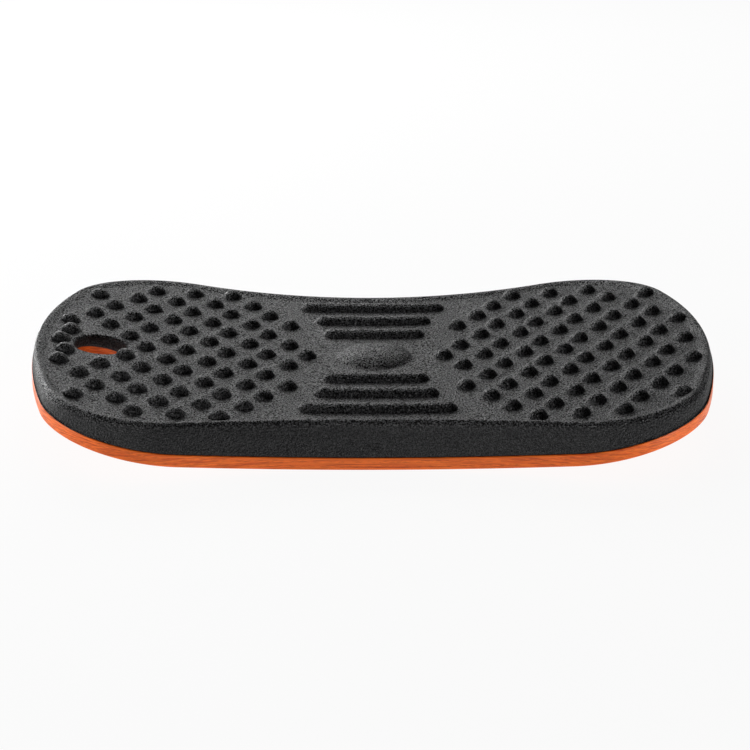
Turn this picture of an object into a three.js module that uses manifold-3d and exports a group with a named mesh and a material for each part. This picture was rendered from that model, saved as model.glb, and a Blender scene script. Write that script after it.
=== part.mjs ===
// Rocker balance board: a moulded foam mat with a massage relief, glued onto a bent plywood base.
// Millimetres, +Z up. X runs along the board, and the hand hole is at the -X end. Y runs across it.
// The origin is the lowest point of the base, under the middle of the board.
import * as THREE from 'three';
import { mergeVertices } from 'three/addons/utils/BufferGeometryUtils.js';
import Module from 'manifold-3d';

const wasm = await Module();
wasm.setup();

// ---- driving dimensions ----

// Plan outlines of the base and of the crest of the mat's lip, measured along their bends. Each has a
// waist arc, four corner arcs and two end arcs.
const basePlan = {
  halfLength: 261.2, halfWidth: 181.4, waistHalfWidth: 156.8, cornerCentreX: 165, cornerRadius: 83.4,
};
const rimPlan = {
  halfLength: 255.3, halfWidth: 174.2, waistHalfWidth: 149.4, cornerCentreX: 163, cornerRadius: 75.8,
};
// The mat was moulded a little off the middle of the base.
const rimShift = -0.5;

// The base is bent to one radius and the top of the mat to a flatter one.
const baseBendRadius = 979;
const topBendRadius = 1900;

// The plywood: thin plies of equal thickness, with the glue lines as gaps between them. The uppermost
// plies stop short of the outline, and the mat's skirt comes down round them onto the step.
const woodThickness = 12.5;
const plyCount = 7;
const skirtedPlies = 2;
const stepInset = 5;
const gap = 0.3;
const glueFilmThickness = 0.4;
const glueFilmInset = 3;

// The mat: heights at the middle of the board, over the lowest point of the base.
const lipHeight = 36.2;
const floorDrop = 2.3;
const floorEdgeInset = 8.5;

// The hand hole is a round-ended slot across the board.
const holeCentre = { x: -207.8, y: -1 };
const holeWidth = 39;
const holeLength = 43;

// The middle of the massage relief sits a little off the middle of the board.
const reliefCentre = { x: 2, y: 0.5 };
const bumpRadius = 7.4;
const bumpHeight = 5.6;
const columnPitch = 30.85;
const firstColumn = 52.5;
const columnStagger = 13.7;
const rowPitch = 49.3;
// How far out the bumps go in each column, in rows from the middle. Whole and half rows alternate.
const outermostRows = [0, 1.5, 2, 2.5, 3, 2.5, 3, 2.5, 3, 2.5, 2, 2.5, 1];
const lastColumn = outermostRows.length - 1;
// Where the two bumps stand that move out past the hand hole, and how far the bump between them gives way.
const reachPastHole = 235;
const middleBumpShift = 3;
const bumpSides = 7;

const ridgeWidth = 14.5;
const ridgeHeight = 4.9;
const ridgeHalfLengths = [40.3, 46.5, 58.5];
const firstRidge = 54;
const ridgePitch = 34.5;

const discRadius = 28;
const discHeight = 5.5;
const discSides = 28;

// Cutting shapes reach past the part by this much, so that they cut it right through.
const cutterMargin = 20;
const cutterHeight = 120;

// How finely the curves are cut into flats.
const bendFlats = 25;
const arcSteps = { waist: 5, corner: 8, end: 3 };
const holeArcSteps = 10;

// ---- plan outline ----

// The three arcs of a quarter of the outline touch without a kink, so their sizes follow from these five.
function quarterArcs({ halfLength, halfWidth, waistHalfWidth, cornerCentreX, cornerRadius }) {
  const cornerCentreY = halfWidth - cornerRadius;
  const reach = waistHalfWidth - cornerCentreY;
  const waistRadius = (cornerCentreX ** 2 + reach ** 2 - cornerRadius ** 2)
    / (2 * (halfWidth - waistHalfWidth));
  const endGap = halfLength - cornerRadius;
  const endCentreX = (endGap ** 2 - cornerCentreX ** 2 - cornerCentreY ** 2)
    / (2 * (endGap - cornerCentreX));
  const waistCentre = new THREE.Vector2(0, waistHalfWidth + waistRadius);
  const cornerCentre = new THREE.Vector2(cornerCentreX, cornerCentreY);
  const waistTurn = Math.atan2(cornerCentreX, waistCentre.y - cornerCentreY);
  const endTurn = Math.atan2(cornerCentreY, cornerCentreX - endCentreX);
  return {
    end: { centre: new THREE.Vector2(endCentreX, 0), radius: halfLength - endCentreX, from: 0, to: endTurn },
    corner: { centre: cornerCentre, radius: cornerRadius, from: endTurn, to: Math.PI / 2 + waistTurn },
    waist: { centre: waistCentre, radius: waistRadius, from: waistTurn, to: 0 },
  };
}

// Points of the first quarter, from the +X end round to just short of the waist, with outward normals.
function quarterOutline(plan) {
  const { end, corner, waist } = quarterArcs(plan);
  const points = [];
  for (const [arc, steps] of [[end, arcSteps.end], [corner, arcSteps.corner]]) {
    for (let i = 0; i < steps; i += 1) {
      const angle = THREE.MathUtils.lerp(arc.from, arc.to, i / steps);
      const normal = new THREE.Vector2(Math.cos(angle), Math.sin(angle));
      points.push({ at: arc.centre.clone().addScaledVector(normal, arc.radius), normal });
    }
  }
  for (let i = 0; i <= arcSteps.waist; i += 1) {
    const angle = THREE.MathUtils.lerp(waist.from, waist.to, i / arcSteps.waist);
    const normal = new THREE.Vector2(-Math.sin(angle), Math.cos(angle));
    points.push({ at: waist.centre.clone().addScaledVector(normal, -waist.radius), normal });
  }
  return points;
}

function mirrored(points, signX, signY) {
  const sign = new THREE.Vector2(signX, signY);
  return points.map(({ at, normal }) => (
    { at: at.clone().multiply(sign), normal: normal.clone().multiply(sign) }
  ));
}

// The whole outline, counter-clockwise, with each shared end point taken once.
function wholeOutline(plan) {
  const quarter = quarterOutline(plan);
  const half = [...quarter, ...mirrored(quarter.slice(0, -1), -1, 1).reverse()];
  return [...half, ...mirrored(half.slice(1, -1), 1, -1).reverse()];
}

const baseOutline = wholeOutline(basePlan);
const rimOutline = wholeOutline(rimPlan);

function drawnIn({ at, normal }, inset) {
  return at.clone().addScaledVector(normal, -inset);
}

// ---- bending ----

// A point of a flat sheet after bending: the sheet's distance along the board becomes an arc length.
// Heights are measured up from the bent surface's own lowest line.
function bend(along, across, height, radius) {
  const turn = along / radius;
  const reach = radius - height;
  return new THREE.Vector3(reach * Math.sin(turn), across, radius - reach * Math.cos(turn));
}

// ---- solids ----

// Merges shared vertices and drops the empty triangles at the ends of a lathe's axis.
function solidOf(geometry) {
  const bare = geometry.clone();
  bare.deleteAttribute('normal');
  bare.deleteAttribute('uv');
  const merged = mergeVertices(bare, 1e-4);
  const corners = merged.index.array;
  const kept = [];
  for (let i = 0; i < corners.length; i += 3) {
    const [a, b, c] = corners.slice(i, i + 3);
    if (a !== b && b !== c && c !== a) kept.push(a, b, c);
  }
  const mesh = new wasm.Mesh({
    numProp: 3,
    vertProperties: new Float32Array(merged.attributes.position.array),
    triVerts: new Uint32Array(kept),
  });
  return new wasm.Manifold(mesh);
}

function geometryOf(solid) {
  const { vertProperties, triVerts } = solid.getMesh();
  const geometry = new THREE.BufferGeometry();
  geometry.setAttribute('position', new THREE.BufferAttribute(new Float32Array(vertProperties), 3));
  geometry.setIndex(new THREE.BufferAttribute(new Uint32Array(triVerts), 1));
  geometry.computeVertexNormals();
  return geometry;
}

// A tall upright prism of the base's outline, drawn in from it by an even inset.
function outlinePrism(inset) {
  const corners = baseOutline.map((edge) => {
    const moved = drawnIn(edge, inset);
    return new THREE.Vector2(bend(moved.x, moved.y, 0, baseBendRadius).x, moved.y);
  });
  const options = { depth: cutterHeight, bevelEnabled: false };
  const prism = new THREE.ExtrudeGeometry(new THREE.Shape(corners), options);
  return solidOf(prism.translate(0, 0, -cutterMargin));
}

// Everything between two heights over the bent base, as wide as the board and a little more.
function bentBand(low, high) {
  const length = 2 * (basePlan.halfLength + cutterMargin);
  const depth = 2 * (basePlan.halfWidth + cutterMargin);
  const stations = Array.from({ length: bendFlats + 1 }, (_, i) => (
    bend((i / bendFlats - 0.5) * length, 0, 0, baseBendRadius)
  ));
  const lower = stations.map(({ x, z }) => new THREE.Vector2(x, z + low));
  const upper = stations.map(({ x, z }) => new THREE.Vector2(x, z + high)).reverse();
  const profile = new THREE.Shape([...lower, ...upper]);
  const band = new THREE.ExtrudeGeometry(profile, { depth, bevelEnabled: false });
  return solidOf(band.translate(0, 0, -depth / 2).rotateX(Math.PI / 2));
}

function handHolePrism() {
  const radius = holeWidth / 2;
  const straight = (holeLength - holeWidth) / 2;
  const shape = new THREE.Shape();
  shape.absarc(holeCentre.x, holeCentre.y + straight, radius, 0, Math.PI, false);
  shape.absarc(holeCentre.x, holeCentre.y - straight, radius, Math.PI, 2 * Math.PI, false);
  const options = { depth: cutterHeight, bevelEnabled: false, curveSegments: holeArcSteps };
  return solidOf(new THREE.ExtrudeGeometry(shape, options).translate(0, 0, -cutterMargin));
}

// A sheet that follows the bent base, with the hand hole through it.
function bentSheet(low, high, inset) {
  return bentBand(low, high).intersect(outlinePrism(inset)).subtract(handHolePrism());
}

// ---- the mat ----

const plyPitch = (woodThickness + gap) / plyCount;
const skirtBottom = (plyCount - skirtedPlies) * plyPitch;
const matBottom = woodThickness + gap + glueFilmThickness + gap;
const floorHeight = lipHeight - floorDrop;

// The mat's section from under the middle, out round the wall and back over the top to the middle.
// reach is the share of the way out from the middle, lean is the share of the way in from the base's
// outline to the lip's crest, inset draws the outline in further, and rise is the share of the way up
// from the base's bend to the lip's. The underside is left deep, and cut to the bend.
const matSection = [
  { reach: 0, lean: 0, inset: 0, rise: -1, drop: 0 },
  { reach: 1, lean: 0, inset: 1.1, rise: -1, drop: 0 },
  { reach: 1, lean: 0, inset: 0.7, rise: 0.2, drop: 0 },
  { reach: 1, lean: 0.1, inset: 0.7, rise: 0.55, drop: 0 },
  { reach: 1, lean: 0.32, inset: 0.5, rise: 0.83, drop: 0 },
  { reach: 1, lean: 0.7, inset: 0.2, rise: 0.96, drop: 0 },
  { reach: 1, lean: 1, inset: 0, rise: 1, drop: 0 },
  { reach: 1, lean: 1, inset: 2.8, rise: 1, drop: 0.3 },
  { reach: 1, lean: 1, inset: floorEdgeInset, rise: 1, drop: floorDrop },
  { reach: 0.75, lean: 1, inset: floorEdgeInset, rise: 1, drop: floorDrop },
  { reach: 0.5, lean: 1, inset: floorEdgeInset, rise: 1, drop: floorDrop },
  { reach: 0.25, lean: 1, inset: floorEdgeInset, rise: 1, drop: floorDrop },
  { reach: 0, lean: 0, inset: 0, rise: 1, drop: floorDrop },
];

function matPoint(turn, { reach, lean, inset, rise, drop }) {
  const crest = drawnIn(rimOutline[turn], inset);
  crest.x += rimShift;
  const flat = drawnIn(baseOutline[turn], inset).lerp(crest, lean).multiplyScalar(reach);
  const lower = bend(flat.x, flat.y, 0, baseBendRadius);
  const upper = bend(flat.x, flat.y, 0, topBendRadius);
  lower.z += skirtBottom;
  upper.z += lipHeight;
  const point = lower.lerp(upper, rise);
  point.z -= drop;
  return point;
}

// A lathe turned from the mat's section, with each of its turns pushed out to the board's outline.
function matBlank() {
  const profile = matSection.map(({ reach }, i) => new THREE.Vector2(reach, i));
  const lathe = new THREE.LatheGeometry(profile, baseOutline.length);
  const { position } = lathe.attributes;
  for (let i = 0; i < position.count; i += 1) {
    const turn = Math.floor(i / matSection.length) % baseOutline.length;
    const { x, y, z } = matPoint(turn, matSection[i % matSection.length]);
    position.setXYZ(i, x, y, z);
  }
  return solidOf(lathe);
}

// Moves a feature made around the origin to its place, and bends it onto the mat's floor.
function onMatFloor(geometry, along, across) {
  const { position } = geometry.attributes;
  for (let i = 0; i < position.count; i += 1) {
    const x = position.getX(i) + reliefCentre.x + along;
    const y = position.getY(i) + reliefCentre.y + across;
    const point = bend(x, y, position.getZ(i), topBendRadius);
    position.setXYZ(i, point.x, point.y, point.z + floorHeight);
  }
  return solidOf(geometry);
}

function bump(along, across) {
  const profile = [[0, -0.4], [1.2, -0.4], [0.62, 0.86], [0, 1]].map(([reach, rise]) => (
    new THREE.Vector2(reach * bumpRadius, rise * bumpHeight)
  ));
  return onMatFloor(new THREE.LatheGeometry(profile, bumpSides).rotateX(Math.PI / 2), along, across);
}

function centreDisc() {
  const profile = [[0, -0.4], [1.1, -0.4], [0.82, 0.42], [0.5, 0.83], [0, 1]].map(([reach, rise]) => (
    new THREE.Vector2(reach * discRadius, rise * discHeight)
  ));
  return onMatFloor(new THREE.LatheGeometry(profile, discSides).rotateX(Math.PI / 2), 0, 0);
}

// A rounded bar along the board, half sunk in the floor.
function ridge(halfLengthOfRidge, across) {
  const radius = ridgeWidth / 2;
  const bar = new THREE.CapsuleGeometry(radius, 2 * (halfLengthOfRidge - radius), 3, 10, 4);
  bar.rotateZ(Math.PI / 2).scale(1, 1, ridgeHeight / radius);
  return onMatFloor(bar, 0, across);
}

// Every bump of one end as its column and its row, where rows are one whole row apart within a column.
function bumpGrid() {
  return outermostRows.flatMap((outermost, column) => (
    Array.from({ length: 2 * outermost + 1 }, (_, i) => ({ column, row: i - outermost }))
  ));
}

function columnReach(column) {
  return firstColumn + Math.floor(column / 2) * columnPitch + (column % 2) * columnStagger;
}

// The end without a hand hole has its columns evenly staggered.
function evenEndBumps() {
  return bumpGrid().map(({ column, row }) => ({ along: columnReach(column), across: row * rowPitch }));
}

// At the other end one bump gives way to the hand hole, and two more move out past it.
function holeEndBumps() {
  const kept = bumpGrid().filter(({ column, row }) => !(column === lastColumn - 2 && row === 0));
  return kept.map(({ column, row }) => {
    const movesPastHole = column === lastColumn - 1 && Math.abs(row) < 1;
    const shift = column === lastColumn && row === 0 ? middleBumpShift : 0;
    const reach = movesPastHole ? reachPastHole : columnReach(column) + shift;
    return { along: -reach, across: row * rowPitch };
  });
}

// The plain mat, hollowed underneath so that a skirt of even width is left round the plywood's step.
function skirtedBlank() {
  const recess = bentBand(0, matBottom).intersect(outlinePrism(stepInset - gap));
  return matBlank().subtract(bentBand(-cutterHeight, skirtBottom)).subtract(recess);
}

function mat() {
  const places = [...evenEndBumps(), ...holeEndBumps()];
  const relief = places.map(({ along, across }) => bump(along, across));
  ridgeHalfLengths.forEach((length, i) => {
    const across = firstRidge + i * ridgePitch;
    relief.push(ridge(length, across), ridge(length, -across));
  });
  relief.push(centreDisc());
  return relief
    .reduce((whole, feature) => whole.add(feature), skirtedBlank())
    .subtract(handHolePrism());
}

// ---- the plywood and the glue film ----

function plies() {
  return Array.from({ length: plyCount }, (_, i) => {
    const low = i * plyPitch;
    const inset = i < plyCount - skirtedPlies ? 0 : stepInset;
    return bentSheet(low, low + plyPitch - gap, inset);
  });
}

function glueFilm() {
  const low = woodThickness + gap;
  return bentSheet(low, low + glueFilmThickness, stepInset + glueFilmInset);
}

// ---- assembly ----

function piece(name, solid, look) {
  const mesh = new THREE.Mesh(geometryOf(solid), new THREE.MeshStandardMaterial(look));
  mesh.name = name;
  return mesh;
}

const foamLook = { color: 0x2b2c2e, roughness: 0.62, metalness: 0 };
const glueLook = { color: 0xc9b98f, roughness: 0.5, metalness: 0 };
const veneerLook = { color: 0xc9703a, roughness: 0.38, metalness: 0 };
const coreLook = { color: 0xd28a55, roughness: 0.5, metalness: 0 };

const board = new THREE.Group();
board.name = 'balance_board';
board.add(piece('massage_mat', mat(), foamLook));
board.add(piece('mat_glue_film', glueFilm(), glueLook));

const plyNames = [
  'base_face_veneer_bottom',
  'base_core_ply_1',
  'base_core_ply_2',
  'base_core_ply_3',
  'base_core_ply_4',
  'base_core_ply_5',
  'base_face_veneer_top',
];
plies().forEach((solid, i) => {
  const isFace = i === 0 || i === plyCount - 1;
  board.add(piece(plyNames[i], solid, isFace ? veneerLook : coreLook));
});

export default board;
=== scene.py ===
import math
from collections import namedtuple

import bmesh
import bpy
import numpy as np
from mathutils import Matrix, Vector, geometry, kdtree


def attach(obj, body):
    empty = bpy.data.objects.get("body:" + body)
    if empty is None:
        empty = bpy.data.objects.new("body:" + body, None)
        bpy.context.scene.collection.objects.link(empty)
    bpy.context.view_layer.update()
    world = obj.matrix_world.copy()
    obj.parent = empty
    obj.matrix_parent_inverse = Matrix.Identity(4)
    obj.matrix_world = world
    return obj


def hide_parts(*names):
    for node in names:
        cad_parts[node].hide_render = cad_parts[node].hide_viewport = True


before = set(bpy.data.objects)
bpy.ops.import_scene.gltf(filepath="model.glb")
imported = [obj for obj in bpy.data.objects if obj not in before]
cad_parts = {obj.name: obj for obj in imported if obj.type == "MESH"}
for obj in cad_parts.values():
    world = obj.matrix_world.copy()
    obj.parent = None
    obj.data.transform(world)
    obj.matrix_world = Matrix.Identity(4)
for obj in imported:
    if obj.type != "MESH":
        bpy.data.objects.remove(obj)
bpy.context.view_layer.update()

# Rocker balance board: a black foam mat with a massage relief, glued onto a bent, stained plywood base.
# Sizes below are in millimetres, in the frame's axes, and become metres where a mesh is made.
MM = 0.001

Plan = namedtuple("Plan", "half_length half_width waist_half_width corner_x corner_radius")

# ---- sizes shared with the CAD part ----

BASE_PLAN = Plan(261.2, 181.4, waist_half_width=156.8, corner_x=165.0, corner_radius=83.4)
RIM_PLAN = Plan(255.3, 174.2, waist_half_width=149.4, corner_x=163.0, corner_radius=75.8)
RIM_SHIFT = -0.5
BASE_BEND_RADIUS = 979.0
TOP_BEND_RADIUS = 1900.0

WOOD_THICKNESS = 12.5
SKIRTED_PLIES = 2
STEP_INSET = 5.0
GAP = 0.3
MAT_BOTTOM = 13.5
LIP_HEIGHT = 36.2
FLOOR_DROP = 2.3

HOLE_CENTRE = np.array([-207.8, -1.0])
HOLE_RADIUS = 19.5
HOLE_STRAIGHT = 2.0

RELIEF_CENTRE = np.array([2.0, 0.5])
COLUMN_PITCH = 30.85
FIRST_COLUMN = 52.5
COLUMN_STAGGER = 13.7
ROW_PITCH = 49.3
OUTERMOST_ROWS = [0, 1.5, 2, 2.5, 3, 2.5, 3, 2.5, 3, 2.5, 2, 2.5, 1]
LAST_COLUMN = len(OUTERMOST_ROWS) - 1
REACH_PAST_HOLE = 235.0
MIDDLE_BUMP_SHIFT = 3.0
RIDGE_HALF_LENGTHS = [40.3, 46.5, 58.5]
FIRST_RIDGE = 54.0
RIDGE_PITCH = 34.5

PLY_NODES = [
    "base_face_veneer_bottom",
    "base_core_ply_1",
    "base_core_ply_2",
    "base_core_ply_3",
    "base_core_ply_4",
    "base_core_ply_5",
    "base_face_veneer_top",
]
PLY_COUNT = len(PLY_NODES)

# ---- sizes of the visible surface ----

BUMP_RADIUS = 7.9
BUMP_HEIGHT = 6.0
BUMP_FULLNESS = 2.4
RIDGE_RADIUS = 7.3
RIDGE_HEIGHT = 5.2
RIDGE_FULLNESS = 2.3
DISC_RADIUS = 29.0
DISC_HEIGHT = 7.5
DISC_FULLNESS = 3.0
FILLET = 0.35
LIP_CREST = 0.8
LIP_SLOPE = 8.0
HOLE_ROUNDING = 3.5
# The shares say how much of the way out from the crest to the foot each part of the wall covers.
WALL_ROUNDING_SHARE = 0.3
WALL_ROUNDING = 1.8
SHOULDER_SHARE = 0.94
SHOULDER_HEIGHT = 15.0
WALL_FOOT_INSET = 0.3
FOOT_ROUNDING = 0.7
SKIRT_BOTTOM = 9.25
EDGE_ROUNDING = 0.7
GLUE_LINE = 0.03
GLUE_FILM_INSET = 1.0

# ---- how finely the surface is divided ----

END_ARC_STEPS = 28
CORNER_ARC_STEPS = 44
WAIST_ARC_STEPS = 34
HOLE_POINTS = 48
# Rings round a bump, close together where its side is steep: (radius, number of points) of each.
BUMP_RINGS = [
    (1.5, 6), (3.0, 12), (4.2, 18), (5.1, 20), (5.8, 22), (6.4, 24), (7.0, 26), (7.5, 26), (7.9, 26),
]
RIDGE_RINGS = [0.0, 1.6, 3.0, 4.2, 5.2, 5.9, 6.45, 6.95, 7.3]
RIDGE_END_POINTS = 18
RIDGE_POINT_PITCH = 1.5
DISC_RINGS = [*range(3, 18, 3), *np.arange(18, 29.3, 1.1)]
DISC_RING_POINTS = 12
DISC_POINTS_PER_MM = 2
LIP_RINGS = [0.8, 1.6, 2.6, 3.6, 4.6, 5.6, 6.6, 7.6, 8.6]
HOLE_RINGS = [1.5, 4.0]
# The height of an even triangle over its side.
ROW_SPACING_SHARE = 0.866
TOP_GRID_PITCH = 5.0
TOP_GRID_CLEARANCE = 2.6
CREST_CLEARANCE = 0.5
HOLE_CLEARANCE = 0.8
FACE_GRID_PITCH = 12.0
FACE_EDGE_CLEARANCE = 4
MAT_HOLE_CLEARANCE = 4
SHEET_HOLE_CLEARANCE = 5
# Degrees round the tight rounding below the lip's crest, and round the wide shoulder after it.
CREST_ANGLES = [14, 28, 42, 56, 70]
SHOULDER_START_ANGLE = 78
SHOULDER_ANGLES = np.linspace(8, 90, 12)
WALL_STEPS = (0.35, 0.7, 1.0)
HOLE_ROUNDING_ANGLES = np.linspace(0, 90, 6)
HOLE_WALL_STEPS = (0.33, 0.66, 1.0)
EDGE_ANGLES = [0, 30, 60, 90]
SHARP_ANGLE = math.radians(40)
FILL_TOLERANCE = 1e-5
ON_HOLE_DISTANCE = 1e-3
# Points closer than this, in metres, are one point of a mesh.
WELD_DISTANCE = 2e-6

# ---- plan outline ----


def arc_points(centre, radius, start, stop, count):
    """Points along an arc, and its directions away from its centre, without the last point."""
    angles = np.linspace(start, stop, count, endpoint=False)
    away = np.stack([np.cos(angles), np.sin(angles)], 1)
    return np.array(centre) + radius * away, away


def quarter_outline(plan):
    """The +X, +Y quarter: end arc, corner arc and waist arc, which meet without a kink."""
    corner_x, radius = plan.corner_x, plan.corner_radius
    corner_y = plan.half_width - radius
    reach = plan.waist_half_width - corner_y
    squares = corner_x ** 2 + reach ** 2 - radius ** 2
    waist_radius = squares / (2 * (plan.half_width - plan.waist_half_width))
    waist_y = plan.waist_half_width + waist_radius
    room = plan.half_length - radius
    end_x = (room ** 2 - corner_x ** 2 - corner_y ** 2) / (2 * (room - corner_x))
    end_turn = math.atan2(corner_y, corner_x - end_x)
    waist_turn = math.atan2(corner_x, waist_y - corner_y)
    end = arc_points((end_x, 0), plan.half_length - end_x, 0, end_turn, END_ARC_STEPS)
    corner_stop = math.pi / 2 + waist_turn
    corner = arc_points((corner_x, corner_y), radius, end_turn, corner_stop, CORNER_ARC_STEPS)
    waist_start, waist_stop = waist_turn - math.pi / 2, -math.pi / 2
    waist, inward = arc_points((0, waist_y), waist_radius, waist_start, waist_stop, WAIST_ARC_STEPS)
    middle = np.array([[0.0, plan.waist_half_width]])
    points = np.vstack([end[0], corner[0], waist, middle])
    normals = np.vstack([end[1], corner[1], -inward, [[0.0, 1.0]]])
    return points, normals


def whole_outline(plan):
    """The whole outline and its normals, counter-clockwise, with each shared end point taken once."""
    half = [np.vstack([a, a[:-1][::-1] * [-1, 1]]) for a in quarter_outline(plan)]
    return [np.vstack([a, a[1:-1][::-1] * [1, -1]]) for a in half]


BASE_OUTLINE = whole_outline(BASE_PLAN)
RIM_OUTLINE = whole_outline(RIM_PLAN)


def directions(count):
    """Unit directions spread evenly round a circle, the first of them half a step past +X."""
    angles = (np.arange(count) + 0.5) * 2 * math.pi / count
    return np.stack([np.cos(angles), np.sin(angles)], 1)


def hole_outline(grow):
    """The hand hole's outline, counter-clockwise, grown outwards by an even margin."""
    away = directions(HOLE_POINTS)
    ends = np.where(away[:, 1:] > 0, HOLE_STRAIGHT, -HOLE_STRAIGHT) * [0.0, 1.0]
    return HOLE_CENTRE + ends + away * (HOLE_RADIUS + grow)


# ---- bending ----


def bend_reach(along, radius):
    """How far along X a point of a flat sheet comes to lie once the sheet is bent."""
    return radius * np.sin(along / radius)


def bend_rise(x, radius):
    """Height of a bent sheet over its own lowest line, at a distance X from it."""
    return radius - np.sqrt(radius ** 2 - x ** 2)


def edge_ring(inset):
    """Plan points of the base's outline, drawn in and then bent."""
    points, normals = BASE_OUTLINE
    ring = points - normals * inset
    return np.stack([bend_reach(ring[:, 0], BASE_BEND_RADIUS), ring[:, 1]], 1)


def rim_ring(inset):
    """Plan points of the lip's crest, drawn in and then bent."""
    points, normals = RIM_OUTLINE
    ring = points - normals * inset
    return np.stack([bend_reach(ring[:, 0], TOP_BEND_RADIUS) + RIM_SHIFT, ring[:, 1]], 1)


# ---- mesh building ----


def with_height(plan, heights):
    return np.column_stack([plan, heights])


def strips(rings):
    """Quads between neighbouring closed rings of equal length. Returns points and faces."""
    count = len(rings[0])
    points = np.vstack(rings)
    faces = []
    for level in range(len(rings) - 1):
        low, high = level * count, (level + 1) * count
        for i in range(count):
            j = (i + 1) % count
            faces.append((low + i, low + j, high + j, high + i))
    return points, faces


def fill(outer, hole, inner_points):
    """Triangles that fill the plan between an outer ring and a hole, through all the inner points."""
    ring, gap = len(outer), len(hole)
    points = np.vstack([outer, hole, inner_points])
    edges = [(i, (i + 1) % ring) for i in range(ring)]
    edges += [(ring + i, ring + (i + 1) % gap) for i in range(gap)]
    flat = [Vector(p) for p in points]
    verts, _, faces, _, _, _ = geometry.delaunay_2d_cdt(flat, edges, [], 1, FILL_TOLERANCE)
    plan = np.array([v[:] for v in verts])
    nearest = kdtree.KDTree(gap)
    for i, p in enumerate(hole):
        nearest.insert((p[0], p[1], 0), i)
    nearest.balance()
    on_hole = np.array([nearest.find((p[0], p[1], 0))[2] < ON_HOLE_DISTANCE for p in plan])
    kept = [f for f in faces if not all(on_hole[i] for i in f)]
    return plan, kept


def mesh_object(name, parts):
    """One closed mesh from several (points, faces) parts that share their border points."""
    vertices, faces, start = [], [], 0
    for points, part_faces in parts:
        vertices.append(points)
        faces += [tuple(start + i for i in f) for f in part_faces]
        start += len(points)
    mesh = bpy.data.meshes.new(name)
    mesh.from_pydata((np.vstack(vertices) * MM).tolist(), [], faces)
    obj = bpy.data.objects.new(name, mesh)
    bpy.context.scene.collection.objects.link(obj)
    weld(mesh)
    mesh.shade_smooth()
    return obj


def weld(mesh):
    """Joins the border points that the parts of a mesh share."""
    bm = bmesh.new()
    bm.from_mesh(mesh)
    bmesh.ops.remove_doubles(bm, verts=bm.verts, dist=WELD_DISTANCE)
    bmesh.ops.recalc_face_normals(bm, faces=bm.faces)
    bm.to_mesh(mesh)
    bm.free()


# ---- massage relief ----


def bump_places():
    """Bump centres over the whole mat. One gives way to the hand hole, and two move out past it."""
    places = []
    for column, outermost in enumerate(OUTERMOST_ROWS):
        reach = FIRST_COLUMN + column // 2 * COLUMN_PITCH + column % 2 * COLUMN_STAGGER
        for row in np.arange(-outermost, outermost + 0.5):
            places.append((reach, row * ROW_PITCH))
            if column == LAST_COLUMN - 2 and row == 0:
                continue
            hole_end_reach = reach
            if column == LAST_COLUMN - 1 and abs(row) < 1:
                hole_end_reach = REACH_PAST_HOLE
            if column == LAST_COLUMN and row == 0:
                hole_end_reach = reach + MIDDLE_BUMP_SHIFT
            places.append((-hole_end_reach, row * ROW_PITCH))
    centres = np.array(places) + RELIEF_CENTRE
    centres[:, 0] = bend_reach(centres[:, 0], TOP_BEND_RADIUS)
    return centres


def ridge_spines():
    """(half length of the straight spine, y) of each ridge."""
    spines = []
    for i, half in enumerate(RIDGE_HALF_LENGTHS):
        for side in (-1, 1):
            spines.append((half - RIDGE_RADIUS, side * (FIRST_RIDGE + i * RIDGE_PITCH)))
    return spines


BUMPS = bump_places()
RIDGES = ridge_spines()


def swell(distance, radius, height, fullness):
    """A rounded swelling over the floor. It is a dome inside, and flows into the floor at its radius."""
    share = np.clip(distance / radius, 0, 1)
    dome = 1 - share ** fullness
    return height * dome * smooth_step((radius - distance) / FILLET)


def smooth_step(share):
    share = np.clip(share, 0, 1)
    return share * share * (3 - 2 * share)


def relief(plan):
    """Height of the massage relief over the mat's floor."""
    height = np.zeros(len(plan))
    for centre in BUMPS:
        near = np.abs(plan - centre).max(1) < BUMP_RADIUS
        distance = np.linalg.norm(plan[near] - centre, axis=1)
        bump = swell(distance, BUMP_RADIUS, BUMP_HEIGHT, BUMP_FULLNESS)
        height[near] = np.maximum(height[near], bump)
    for half, y in RIDGES:
        offset = plan - RELIEF_CENTRE - [0, y]
        past = np.maximum(np.abs(offset[:, 0]) - half, 0)
        distance = np.hypot(past, offset[:, 1])
        height = np.maximum(height, swell(distance, RIDGE_RADIUS, RIDGE_HEIGHT, RIDGE_FULLNESS))
    distance = np.linalg.norm(plan - RELIEF_CENTRE, axis=1)
    return np.maximum(height, swell(distance, DISC_RADIUS, DISC_HEIGHT, DISC_FULLNESS))


def lip(distance):
    """Height of the raised lip over the floor, at a distance in from its crest."""
    share = np.clip((distance - LIP_CREST) / LIP_SLOPE, 0, 1)
    return FLOOR_DROP * (0.5 + 0.5 * np.cos(math.pi * share))


def distance_to(plan, ring):
    """Distance of each point to the nearest point of a ring."""
    tree = kdtree.KDTree(len(ring))
    for i, p in enumerate(ring):
        tree.insert((p[0], p[1], 0), i)
    tree.balance()
    return np.array([tree.find((p[0], p[1], 0))[2] for p in plan])


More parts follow.
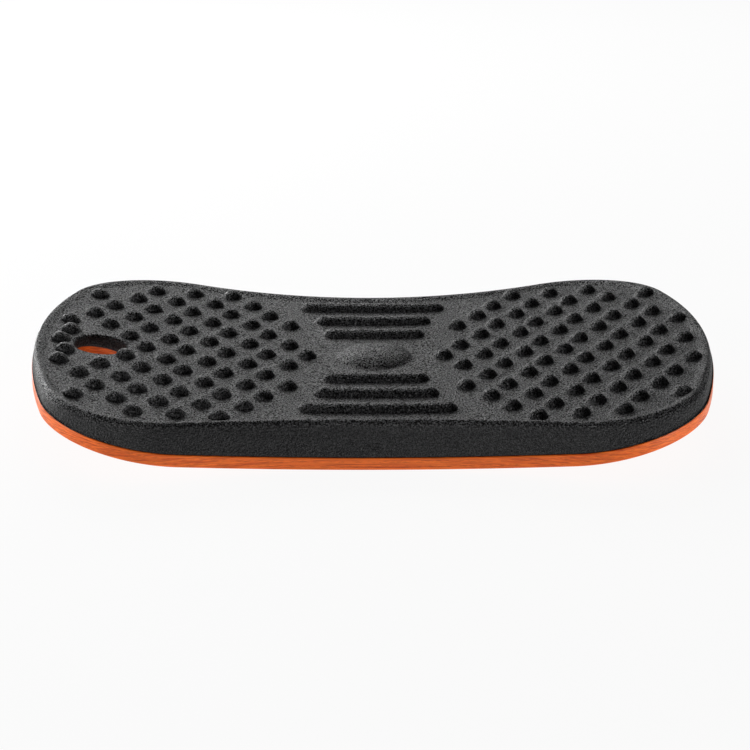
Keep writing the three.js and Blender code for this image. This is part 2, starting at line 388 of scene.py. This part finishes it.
def relief_points(crest):
    """Where the top's mesh has points: rings round each feature, and a plain grid between them."""
    groups = []
    for centre in BUMPS:
        groups.append(centre[None])
        for radius, count in BUMP_RINGS:
            groups.append(ring_round(centre, 0, radius, count))
    for half, y in RIDGES:
        for radius in RIDGE_RINGS:
            groups.append(ring_round(RELIEF_CENTRE + [0, y], half, radius, RIDGE_END_POINTS))
    for radius in DISC_RINGS:
        count = int(DISC_RING_POINTS + radius * DISC_POINTS_PER_MM)
        groups.append(ring_round(RELIEF_CENTRE, 0, radius, count))
    features = np.vstack(groups)
    lip_rings = [rim_ring(step) for step in LIP_RINGS]
    hole_rings = [hole_outline(HOLE_ROUNDING + step) for step in HOLE_RINGS]
    fine = np.vstack([features] + lip_rings + hole_rings)
    grid = plain_grid(TOP_GRID_PITCH)
    grid = grid[distance_to(grid, fine) > TOP_GRID_CLEARANCE]
    points = np.vstack([fine, grid])
    inside = inside_ring(points, crest) & (distance_to(points, crest) > CREST_CLEARANCE)
    hole = hole_outline(HOLE_ROUNDING)
    outside = ~inside_ring(points, hole) & (distance_to(points, hole) > HOLE_CLEARANCE)
    return points[inside & outside]


def ring_round(centre, half, radius, count):
    """Points on a circle, or on a round-ended slot along X where half is over 0."""
    away = directions(count)
    ends = np.sign(away[:, :1]) * half * [1.0, 0.0]
    ring = centre + ends + away * radius
    if half == 0:
        return ring
    along = np.arange(-half, half + 0.1, 2 * half / max(2, round(half / RIDGE_POINT_PITCH)))
    straights = []
    for side in (-1, 1) if radius > 0 else (-1,):
        across = np.full(len(along), centre[1] + side * radius)
        straights.append(np.stack([centre[0] + along, across], 1))
    return np.vstack([ring] + straights)


def plain_grid(pitch):
    """Staggered rows of points over the whole plan, at the corners of even triangles."""
    rows = []
    width, length = BASE_PLAN.half_width, BASE_PLAN.half_length
    row_pitch = pitch * ROW_SPACING_SHARE
    for i, y in enumerate(np.arange(-width, width, row_pitch)):
        x = np.arange(-length, length, pitch) + (i % 2) * pitch / 2
        rows.append(np.stack([x, np.full(len(x), y)], 1))
    return np.vstack(rows)


def inside_ring(points, ring):
    """Whether each point is inside a closed ring, by counting the edges a ray crosses."""
    inside = np.zeros(len(points), bool)
    ahead = np.roll(ring, -1, 0)
    for (x0, y0), (x1, y1) in zip(ring, ahead):
        if y0 == y1:
            continue
        crosses = (y0 > points[:, 1]) != (y1 > points[:, 1])
        at = x0 + (points[:, 1] - y0) * (x1 - x0) / (y1 - y0)
        inside ^= crosses & (points[:, 0] < at)
    return inside


# ---- foam mat ----


def mat_top(crest):
    """The recessed floor with its relief, up to the lip's crest and round the hand hole."""
    hole = hole_outline(HOLE_ROUNDING)
    plan, faces = fill(crest, hole, relief_points(crest))
    raised = relief(plan) + lip(distance_to(plan, crest))
    heights = LIP_HEIGHT + bend_rise(plan[:, 0], TOP_BEND_RADIUS) - FLOOR_DROP + raised
    return with_height(plan, heights), faces


def mat_wall():
    """Rings down from the lip's crest: a tight rounding, a wide shoulder, the wall, and the skirt."""
    crest_plan = rim_ring(0)
    foot_plan = edge_ring(WALL_FOOT_INSET)
    crest = with_height(crest_plan, LIP_HEIGHT + bend_rise(crest_plan[:, 0], TOP_BEND_RADIUS))
    foot = with_height(foot_plan, SKIRT_BOTTOM + bend_rise(foot_plan[:, 0], BASE_BEND_RADIUS))
    outward = (foot - crest) * [1, 1, 0]
    rings = [crest]
    for angle in np.radians(CREST_ANGLES):
        share = WALL_ROUNDING_SHARE * math.sin(angle)
        rings.append(moved_down(crest, outward * share, WALL_ROUNDING * (1 - math.cos(angle))))
    start = WALL_ROUNDING * (1 - math.cos(math.radians(SHOULDER_START_ANGLE)))
    for angle in np.radians(SHOULDER_ANGLES):
        share = WALL_ROUNDING_SHARE + (SHOULDER_SHARE - WALL_ROUNDING_SHARE) * math.sin(angle)
        down = start + SHOULDER_HEIGHT * (1 - math.cos(angle))
        rings.append(moved_down(crest, outward * share, down))
    rest = crest[:, 2] - foot[:, 2] - FOOT_ROUNDING - start - SHOULDER_HEIGHT
    for step in WALL_STEPS:
        share = SHOULDER_SHARE + (1 - SHOULDER_SHARE) * step
        rings.append(moved_down(crest, outward * share, start + SHOULDER_HEIGHT + rest * step))
    rings += skirt_rings()
    return strips(rings[::-1])


def moved_down(ring, outward, down):
    moved = ring + outward
    moved[:, 2] -= down
    return moved


def skirt_rings():
    """The skirt's underside, which stands on the plywood's step, and the recess inside it."""
    outer, inner = WALL_FOOT_INSET + FOOT_ROUNDING, STEP_INSET - GAP
    rings = []
    for inset, height in ((outer, SKIRT_BOTTOM), (inner, SKIRT_BOTTOM), (inner, MAT_BOTTOM)):
        plan = edge_ring(inset)
        rings.append(with_height(plan, height + bend_rise(plan[:, 0], BASE_BEND_RADIUS)))
    return rings


def mat_underside():
    return sheet_face(edge_ring(STEP_INSET - GAP), hole_outline(0), MAT_BOTTOM, MAT_HOLE_CLEARANCE)


def mat_hole_wall():
    """The hand hole's rounded rim, and its wall down to the underside."""
    rings = []
    for angle in np.radians(HOLE_ROUNDING_ANGLES):
        plan = hole_outline(HOLE_ROUNDING * (1 - math.sin(angle)))
        floor = LIP_HEIGHT - FLOOR_DROP + bend_rise(plan[:, 0], TOP_BEND_RADIUS)
        rings.append(with_height(plan, floor - HOLE_ROUNDING * (1 - math.cos(angle))))
    plan = hole_outline(0)
    foot = MAT_BOTTOM + bend_rise(plan[:, 0], BASE_BEND_RADIUS)
    last = rings[-1][:, 2]
    for step in HOLE_WALL_STEPS:
        rings.append(with_height(plan, last + (foot - last) * step))
    return strips(rings)


def make_mat():
    crest = rim_ring(0)
    parts = [mat_top(crest), mat_wall(), mat_underside(), mat_hole_wall()]
    return mesh_object("massage_mat_foam", parts)


# ---- plywood base ----


def sheet_face(ring, hole, height, hole_clearance):
    """One face of a bent sheet, filled between its edge and the hand hole."""
    grid = plain_grid(FACE_GRID_PITCH)
    keep = inside_ring(grid, ring) & (distance_to(grid, ring) > FACE_EDGE_CLEARANCE)
    keep &= ~inside_ring(grid, hole_outline(hole_clearance))
    plan, faces = fill(ring, hole, grid[keep])
    return with_height(plan, height + bend_rise(plan[:, 0], BASE_BEND_RADIUS)), faces


def sheet_edge(levels, ring_at):
    """Rings of a sheet's edge, from (height, inset) pairs."""
    rings = []
    for height, inset in levels:
        plan = ring_at(inset)
        rings.append(with_height(plan, height + bend_rise(plan[:, 0], BASE_BEND_RADIUS)))
    return strips(rings)


def bent_sheet(name, low, high, inset, round_low, round_high):
    """A bent sheet with the hand hole through it. Its lower and upper edges are rounded where asked."""
    levels = [(low, inset), (high, inset)]
    r = EDGE_ROUNDING
    quarter = [(r * (1 - math.sin(a)), r * (1 - math.cos(a))) for a in np.radians(EDGE_ANGLES)]
    if round_low:
        levels = [(low + dz, inset + dx) for dz, dx in quarter[::-1]] + levels[1:]
    if round_high:
        levels = levels[:-1] + [(high - dz, inset + dx) for dz, dx in quarter]

    def hole(edge_inset):
        return hole_outline(edge_inset - inset)

    faces = [
        sheet_face(edge_ring(face_inset), hole(face_inset), height, SHEET_HOLE_CLEARANCE)
        for height, face_inset in (levels[0], levels[-1])
    ]
    edges = [sheet_edge(levels, edge_ring), sheet_edge(levels, hole)]
    obj = mesh_object(name, faces + edges)
    obj.data.set_sharp_from_angle(angle=SHARP_ANGLE)
    return obj


def make_plies():
    """The glued plies. The lowest one and the last one below the skirt have a rounded edge."""
    pitch = (WOOD_THICKNESS + GAP) / PLY_COUNT
    wide_plies = PLY_COUNT - SKIRTED_PLIES
    plies = []
    for i, node in enumerate(PLY_NODES):
        low = i * pitch
        inset = 0.0 if i < wide_plies else STEP_INSET
        rounded = (i == 0, i == wide_plies - 1)
        plies.append(bent_sheet(node + "_wood", low, low + pitch - GLUE_LINE, inset, *rounded))
    return plies


def make_glue_film():
    low, high = WOOD_THICKNESS + GAP + GLUE_LINE, MAT_BOTTOM - GLUE_LINE
    return bent_sheet("mat_glue_film_cured", low, high, STEP_INSET + GLUE_FILM_INSET, False, False)


# ---- materials ----

# Texture scales are in cells per metre, and bump depths in metres.
PEBBLE_SCALE = 700
PEBBLE_SMOOTHNESS = 0.35
GRAIN_SCALE = 1100
COARSE_GRAIN_SCALE = 420
TOP_SPECK_SCALE = 860
WALL_SPECK_SCALE = 1200
FOAM_BUMP_DEPTH = 0.0011
DARKEST_FOAM = (0.004, 0.004, 0.0042)
LIGHTEST_FOAM = (0.028, 0.0285, 0.03)

# The veneer's figure and fibres are drawn out along the board. A cross ply's fibres are shorter.
FIGURE_SCALE = (14, 60, 700)
FIBRE_SCALE = (30, 60, 1300)
CROSS_FIBRE_SCALE = (160, 60, 1300)
FIBRE_BUMP_DEPTH = 0.0001
LIGHT_STAIN = (0.93, 0.165, 0.017)
DARK_STAIN = (0.55, 0.058, 0.006)
BRIGHT_STREAK_GAIN = 1.2

GLUE_LUMP_SCALE = 400
GLUE_BUMP_DEPTH = 0.0002
DARK_GLUE = (0.02, 0.018, 0.014)
LIGHT_GLUE = (0.05, 0.042, 0.03)


class Nodes:
    """Short hand for building a material's node tree."""

    def __init__(self, name):
        self.material = bpy.data.materials.new(name)
        self.material.use_nodes = True
        self.tree = self.material.node_tree
        self.shader = self.tree.nodes["Principled BSDF"]
        self.place = self.add("ShaderNodeTexCoord").outputs["Object"]

    def add(self, kind, **values):
        node = self.tree.nodes.new(kind)
        for key, value in values.items():
            setattr(node, key, value)
        return node

    def link(self, source, target):
        self.tree.links.new(source, target)

    def scaled(self, scale):
        mapping = self.add("ShaderNodeMapping")
        mapping.inputs["Scale"].default_value = scale
        self.link(self.place, mapping.inputs["Vector"])
        return mapping.outputs["Vector"]

    def noise(self, scale, detail=3.0, roughness=0.55, vector=None, distortion=0.0):
        node = self.add("ShaderNodeTexNoise")
        node.inputs["Scale"].default_value = scale
        node.inputs["Detail"].default_value = detail
        node.inputs["Roughness"].default_value = roughness
        node.inputs["Distortion"].default_value = distortion
        self.link(vector or self.place, node.inputs["Vector"])
        return node.outputs["Fac"]

    def soft_voronoi(self, scale, smoothness):
        node = self.add("ShaderNodeTexVoronoi", feature="SMOOTH_F1")
        node.inputs["Scale"].default_value = scale
        node.inputs["Smoothness"].default_value = smoothness
        self.link(self.place, node.inputs["Vector"])
        return node.outputs["Distance"]

    def ramp(self, value, stops):
        node = self.add("ShaderNodeValToRGB")
        elements = node.color_ramp.elements
        while len(elements) < len(stops):
            elements.new(0.5)
        for element, (position, colour) in zip(elements, stops):
            element.position = position
            element.color = (*colour, 1.0)
        self.link(value, node.inputs["Fac"])
        return node.outputs["Color"]

    def grey_ramp(self, value, stops):
        return self.ramp(value, [(p, (g, g, g)) for p, g in stops])

    def mix(self, factor, first, second, kind="MIX"):
        node = self.add("ShaderNodeMix", data_type="RGBA", blend_type=kind)
        self.set_or_link(factor, node.inputs[0])
        self.set_or_link(first, node.inputs[6])
        self.set_or_link(second, node.inputs[7])
        return node.outputs[2]

    def math(self, kind, first, second):
        node = self.add("ShaderNodeMath", operation=kind)
        self.set_or_link(first, node.inputs[0])
        self.set_or_link(second, node.inputs[1])
        return node.outputs[0]

    def set_or_link(self, value, socket):
        if isinstance(value, bpy.types.NodeSocket):
            self.link(value, socket)
        elif isinstance(value, tuple):
            socket.default_value = (*value, 1.0)
        else:
            socket.default_value = value

    def bump(self, height, distance, strength):
        node = self.add("ShaderNodeBump")
        node.inputs["Distance"].default_value = distance
        node.inputs["Strength"].default_value = strength
        self.link(height, node.inputs["Height"])
        return node.outputs["Normal"]

    def finish(self, colour, roughness, normal, **values):
        self.link(colour, self.shader.inputs["Base Color"])
        self.link(roughness, self.shader.inputs["Roughness"])
        self.link(normal, self.shader.inputs["Normal"])
        for key, value in values.items():
            self.shader.inputs[key.replace("_", " ")].default_value = value
        return self.material


def foam_material():
    """Self-skinning polyurethane foam: a dense black skin, more pebbled on the top than on the walls."""
    n = Nodes("foam_skin")
    facing = n.add("ShaderNodeSeparateXYZ")
    n.link(n.add("ShaderNodeNewGeometry").outputs["Normal"], facing.inputs[0])
    upward = n.grey_ramp(facing.outputs["Z"], [(0.15, 0.0), (0.7, 1.0)])
    pebble = n.soft_voronoi(PEBBLE_SCALE, PEBBLE_SMOOTHNESS)
    grain = n.noise(GRAIN_SCALE, 2.0, 0.6)
    coarse = n.noise(COARSE_GRAIN_SCALE, 2.0, 0.5)
    height = n.math("ADD", n.math("MULTIPLY", pebble, -1.0), n.math("MULTIPLY", grain, 0.9))
    height = n.math("ADD", height, n.math("MULTIPLY", coarse, 0.8))
    top_speck = n.grey_ramp(n.noise(TOP_SPECK_SCALE, 1.0, 0.5), [(0.42, 0.0), (0.58, 1.0)])
    wall_speck = n.grey_ramp(n.noise(WALL_SPECK_SCALE, 1.0, 0.5), [(0.35, 0.15), (0.65, 0.9)])
    speck = n.mix(upward, wall_speck, top_speck)
    base = n.mix(speck, DARKEST_FOAM, LIGHTEST_FOAM)
    roughness = n.grey_ramp(speck, [(0.0, 0.66), (1.0, 0.42)])
    normal = n.bump(height, FOAM_BUMP_DEPTH, 1.0)
    wall_sheen = n.grey_ramp(speck, [(0.0, 0.1), (1.0, 0.4)])
    top_sheen = n.grey_ramp(speck, [(0.0, 0.05), (1.0, 0.9)])
    n.link(n.mix(upward, wall_sheen, top_sheen), n.shader.inputs["Specular IOR Level"])
    return n.finish(base, roughness, normal)


def veneer_material(ply):
    """Stained, sealed veneer. Every second ply is a cross ply, and each has a figure of its own."""
    n = Nodes(f"veneer_{ply}")
    is_cross_ply = ply % 2 == 1
    shift = n.add("ShaderNodeVectorMath", operation="ADD")
    shift.inputs[1].default_value = (ply * 0.37, ply * 0.11, ply * 0.05)
    n.link(n.place, shift.inputs[0])
    n.place = shift.outputs[0]
    figure = n.noise(1.0, 5.0, 0.62, n.scaled(FIGURE_SCALE), 0.8)
    fibres = n.noise(1.0, 3.0, 0.7, n.scaled(CROSS_FIBRE_SCALE if is_cross_ply else FIBRE_SCALE))
    bright = tuple(min(1.0, c * BRIGHT_STREAK_GAIN) for c in LIGHT_STAIN)
    colour = n.ramp(figure, [(0.3, DARK_STAIN), (0.5, LIGHT_STAIN), (0.7, bright)])
    streak = n.grey_ramp(fibres, [(0.36, 0.62), (0.58, 1.0)])
    colour = n.mix(1.0, colour, streak, "MULTIPLY")
    roughness = n.grey_ramp(fibres, [(0.3, 0.46), (0.7, 0.36)])
    normal = n.bump(fibres, FIBRE_BUMP_DEPTH, 0.6)
    return n.finish(colour, roughness, normal, Specular_IOR_Level=0.3)


def glue_material():
    n = Nodes("cured_glue")
    lumps = n.noise(GLUE_LUMP_SCALE, 3.0)
    colour = n.ramp(lumps, [(0.3, DARK_GLUE), (0.7, LIGHT_GLUE)])
    roughness = n.grey_ramp(lumps, [(0.3, 0.5), (0.7, 0.7)])
    return n.finish(colour, roughness, n.bump(lumps, GLUE_BUMP_DEPTH, 0.5))


# ---- stage, lights and camera ----

CAMERA_ELEVATION = math.radians(18.5)
CAMERA_YAW = 0.01788
CAMERA_ROLL = 0.00405
CAMERA_DISTANCE = 2.0762
CAMERA_TARGET = Vector((0.00216, 0.0, 0.01951))
CAMERA_LENS = 129.45
SENSOR_WIDTH = 36.0

FLOOR_HALF_SIZE = 6.0
FLOOR_GAP = 0.0002
FLOOR_GLOW = 0.935
WORLD_STRENGTH = 0.04


def make_camera():
    camera = bpy.data.cameras.new("camera")
    camera.lens = CAMERA_LENS
    camera.sensor_width = SENSOR_WIDTH
    camera.clip_end = 50.0
    obj = bpy.data.objects.new("camera", camera)
    level, down = math.cos(CAMERA_ELEVATION), math.sin(CAMERA_ELEVATION)
    forward = Vector((math.sin(CAMERA_YAW) * level, math.cos(CAMERA_YAW) * level, -down))
    right = Vector((math.cos(CAMERA_YAW), -math.sin(CAMERA_YAW), 0.0))
    up = right.cross(forward)
    turn = Matrix((right, up, -forward)).transposed() @ Matrix.Rotation(CAMERA_ROLL, 3, "Z")
    place = CAMERA_TARGET - forward * CAMERA_DISTANCE
    obj.matrix_world = Matrix.Translation(place) @ turn.to_4x4()
    bpy.context.scene.collection.objects.link(obj)
    bpy.context.scene.camera = obj


def make_floor():
    """A plain pale floor just below the board. Its glow keeps it even and without a hard shadow."""
    mesh = bpy.data.meshes.new("floor")
    half = FLOOR_HALF_SIZE
    corners = [(-half, -half, 0), (half, -half, 0), (half, half, 0), (-half, half, 0)]
    mesh.from_pydata(corners, [], [(0, 1, 2, 3)])
    floor = bpy.data.objects.new("floor", mesh)
    bpy.context.scene.collection.objects.link(floor)
    floor.location.z = -FLOOR_GAP
    n = Nodes("pale_floor")
    n.shader.inputs["Base Color"].default_value = (0.05, 0.05, 0.05, 1)
    n.shader.inputs["Roughness"].default_value = 0.95
    n.shader.inputs["Specular IOR Level"].default_value = 0.1
    n.shader.inputs["Emission Color"].default_value = (1, 1, 1, 1)
    n.shader.inputs["Emission Strength"].default_value = FLOOR_GLOW
    mesh.materials.append(n.material)


def area_light(name, place, target, size, watts):
    """A softbox that points at a target, with places and sizes in metres."""
    light = bpy.data.lights.new(name, "AREA")
    light.shape = "RECTANGLE"
    light.size, light.size_y = size
    light.energy = watts
    obj = bpy.data.objects.new(name, light)
    bpy.context.scene.collection.objects.link(obj)
    aim = Vector(target) - Vector(place)
    obj.rotation_euler = aim.to_track_quat("-Z", "Y").to_euler()
    obj.location = place


def make_lights():
    area_light("back_softbox", (-0.3, 1.55, 0.9), (0, 0, 0), (1.2, 0.85), 16)
    area_light("back_strip", (-0.95, 1.3, 0.13), (0, 0, 0.03), (1.1, 0.18), 12)
    area_light("left_softbox", (-1.85, -0.2, 0.36), (0, 0, 0), (0.5, 0.25), 19)
    area_light("right_softbox", (1.7, -0.75, 0.05), (0, 0, 0.02), (0.5, 0.08), 13)
    area_light("front_fill", (0.3, -2.6, 0.25), (0, 0, 0.02), (2.4, 0.3), 2)
    world = bpy.data.worlds.new("studio")
    world.use_nodes = True
    background = world.node_tree.nodes["Background"]
    background.inputs["Color"].default_value = (1, 1, 1, 1)
    background.inputs["Strength"].default_value = WORLD_STRENGTH
    bpy.context.scene.world = world


# ---- assembly ----


def install(obj, node, material):
    """Gives a piece its look, and puts it in the place of its CAD node."""
    obj.data.materials.append(material)
    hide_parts(node)
    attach(obj, "root")


make_camera()
make_floor()
make_lights()

mat = make_mat()
install(mat, "massage_mat", foam_material())

install(make_glue_film(), "mat_glue_film", glue_material())

for i, ply in enumerate(make_plies()):
    install(ply, PLY_NODES[i], veneer_material(i))

bpy.context.scene.view_settings.view_transform = "Standard"
